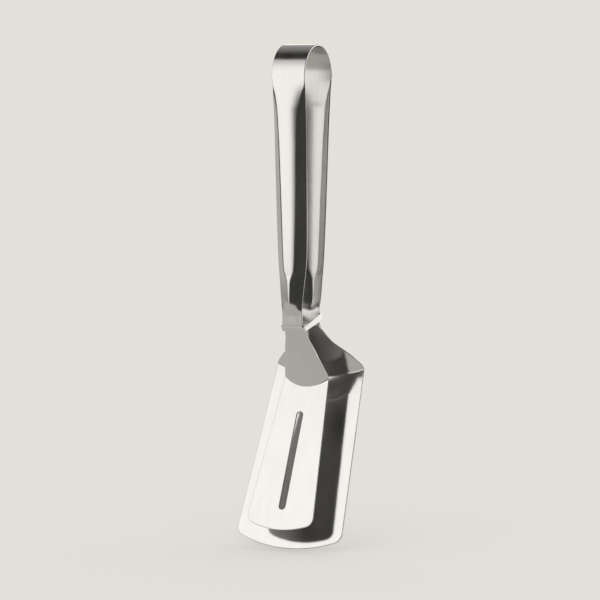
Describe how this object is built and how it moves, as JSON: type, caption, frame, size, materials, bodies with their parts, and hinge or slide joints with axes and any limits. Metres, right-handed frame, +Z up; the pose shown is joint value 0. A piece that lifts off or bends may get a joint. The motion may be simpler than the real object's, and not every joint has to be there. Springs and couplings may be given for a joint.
{
  "type": "serving tongs",
  "caption": "Spring tongs in bent stainless sheet: a hanging bow, channelled arms, a slotted blade before a wider plain blade, and a guide ring at the waist.",
  "frame": {"origin": "the inside top of the bow, where a hook or rail carries the tongs", "axes": "+Z up along the handle towards the bow, +X across the strip's width, +Y from the slotted blade to the wide blade"},
  "size_m": [0.0642, 0.0536, 0.276],
  "materials": {
    "handle_steel": "bright polished stainless sheet with a faint lengthwise grain",
    "blade_steel": "mirror polished stainless sheet",
    "ring_steel": "bright polished stainless strip"
  },
  "bodies": {
    "bow": {"spring_bow": "handle_steel"},
    "front_jaw": {"front_arm": "handle_steel", "front_blade": "blade_steel", "guide_ring": "ring_steel"},
    "rear_jaw": {"rear_arm": "handle_steel", "rear_blade": "blade_steel"}
  },
  "joints": [
    {"name": "front_squeeze", "type": "hinge", "parent": "bow", "child": "front_jaw", "pos_m": [0, -0.01082, -0.00518], "axis": [1, 0, 0], "range_deg": [0, 1.48], "stiffness_Nm_per_rad": 12},
    {"name": "rear_squeeze", "type": "hinge", "parent": "bow", "child": "rear_jaw", "pos_m": [0, 0.01082, -0.00518], "axis": [1, 0, 0], "range_deg": [-1.48, 0], "stiffness_Nm_per_rad": 12}
  ],
  "couplings": [
    {"joint": "front_squeeze", "follows": "rear_squeeze", "ratio": -1}
  ]
}
